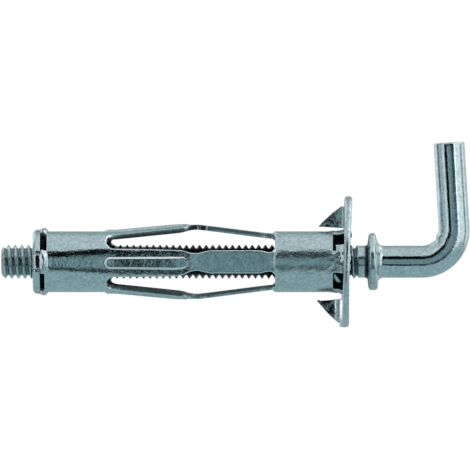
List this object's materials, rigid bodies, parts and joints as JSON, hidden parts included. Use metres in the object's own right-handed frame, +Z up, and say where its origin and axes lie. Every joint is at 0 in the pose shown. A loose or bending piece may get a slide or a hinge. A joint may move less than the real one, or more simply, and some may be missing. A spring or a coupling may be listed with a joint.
{
  "type": "hollow wall anchor with hook",
  "caption": "Unset steel hollow wall anchor: a slotted folding sleeve with a clawed round flange, and a right-angled screw hook threaded through it.",
  "frame": {"origin": "centre of the flange plate's wall face, on the anchor's axis", "axes": "+X along the anchor, out of the wall towards the hook; +Z up, the way the hook's arm points; the wall lies at negative X"},
  "size_m": [0.0585, 0.0164, 0.0232],
  "materials": {
    "zinc_wire": "bright zinc plate over drawn wire, glossy with fine drawing lines",
    "zinc_sheet": "blue-passivated zinc plate on rolled sheet, satin and slightly mottled",
    "zinc_nut": "zinc plate on pressed steel, satin",
    "zinc_plate": "zinc plate on stamped steel, satin with sheared edges"
  },
  "bodies": {
    "anchor": {"sleeve": "zinc_sheet", "nut": "zinc_nut", "flange_plate": "zinc_plate"},
    "hook": {"hook_screw": "zinc_wire"}
  },
  "joints": [
    {"name": "hook_turn", "type": "hinge", "parent": "anchor", "child": "hook", "pos_m": [0, 0, 0], "axis": [1, 0, 0], "range_deg": [-800, 3730]}
  ]
}
